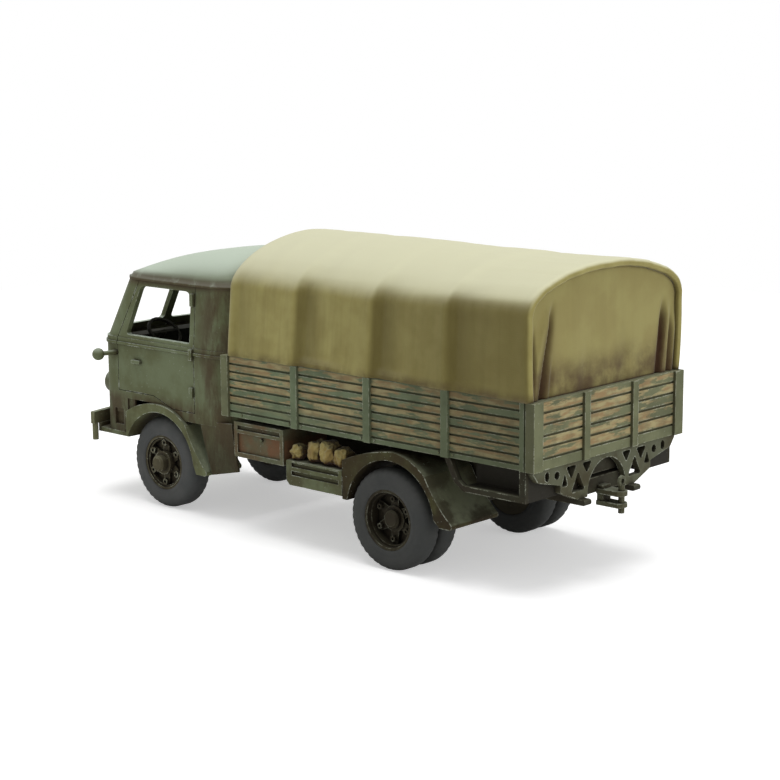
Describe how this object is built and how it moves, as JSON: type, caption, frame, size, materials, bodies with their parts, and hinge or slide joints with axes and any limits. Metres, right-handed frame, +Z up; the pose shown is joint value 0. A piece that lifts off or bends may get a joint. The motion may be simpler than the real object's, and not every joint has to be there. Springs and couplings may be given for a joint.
{
  "type": "scale model cargo truck with tilt",
  "caption": "Tabletop scale model of a cab-over military cargo truck with planked sides, a canvas tilt and turning spoked wheels.",
  "frame": {"origin": "on the ground, under the middle of the model's length and width", "axes": "+Z up, +Y to the rear, +X to the truck's left side; the truck faces -Y"},
  "size_m": [0.0388, 0.1092, 0.0492],
  "materials": {
    "green_paint": "matt painted",
    "planks": "matt painted",
    "canvas": "matt painted",
    "roll_cloth": "matt painted",
    "dark_frame": "matt painted",
    "cab_trim": "matt painted",
    "tyre_grey": "matt painted",
    "wheel_brown": "matt painted"
  },
  "bodies": {
    "truck": {"bed_bearers": "dark_frame", "bed_floor": "planks", "bed_side_left": "planks", "bed_side_right": "planks", "bench_seat": "cab_trim", "cab_back": "green_paint", "cab_floor": "green_paint", "cab_nose": "green_paint", "cab_roof": "green_paint", "chassis_rails": "dark_frame", "chassis_crossmembers": "dark_frame", "corner_markers": "green_paint", "dashboard": "cab_trim", "door_left": "green_paint", "door_right": "green_paint", "front_axle": "dark_frame", "front_bumper": "green_paint", "front_fender_left": "green_paint", "front_fender_right": "green_paint", "front_springs": "dark_frame", "grille": "green_paint", "headboard": "planks", "headlamps": "green_paint", "nose_apron": "green_paint", "rear_axle": "dark_frame", "rear_fender_left": "green_paint", "rear_fender_right": "green_paint", "rear_side_box_left": "green_paint", "rear_side_box_right": "green_paint", "rear_springs": "dark_frame", "rear_truss": "green_paint", "steering_wheel": "cab_trim", "step_locker_left": "green_paint", "step_locker_right": "green_paint", "stowage_rolls": "roll_cloth", "tailboard": "planks", "tilt": "canvas", "toolbox_left": "green_paint", "toolbox_right": "green_paint", "tow_hitch": "dark_frame", "windscreen_frame": "green_paint"},
    "front_left_wheel": {"front_left_tyre": "tyre_grey", "front_left_rim": "wheel_brown"},
    "front_right_wheel": {"front_right_tyre": "tyre_grey", "front_right_rim": "wheel_brown"},
    "rear_left_wheel": {"rear_left_tyre": "tyre_grey", "rear_left_rim": "wheel_brown"},
    "rear_right_wheel": {"rear_right_tyre": "tyre_grey", "rear_right_rim": "wheel_brown"}
  },
  "joints": [
    {"name": "front_left_spin", "type": "hinge", "parent": "truck", "child": "front_left_wheel", "pos_m": [0.0129, -0.0346, 0.00815], "axis": [1, 0, 0], "continuous": true},
    {"name": "front_right_spin", "type": "hinge", "parent": "truck", "child": "front_right_wheel", "pos_m": [-0.0129, -0.0346, 0.00815], "axis": [1, 0, 0], "continuous": true},
    {"name": "rear_left_spin", "type": "hinge", "parent": "truck", "child": "rear_left_wheel", "pos_m": [0.0152, 0.0231, 0.00815], "axis": [1, 0, 0], "continuous": true},
    {"name": "rear_right_spin", "type": "hinge", "parent": "truck", "child": "rear_right_wheel", "pos_m": [-0.0152, 0.0231, 0.00815], "axis": [1, 0, 0], "continuous": true}
  ]
}
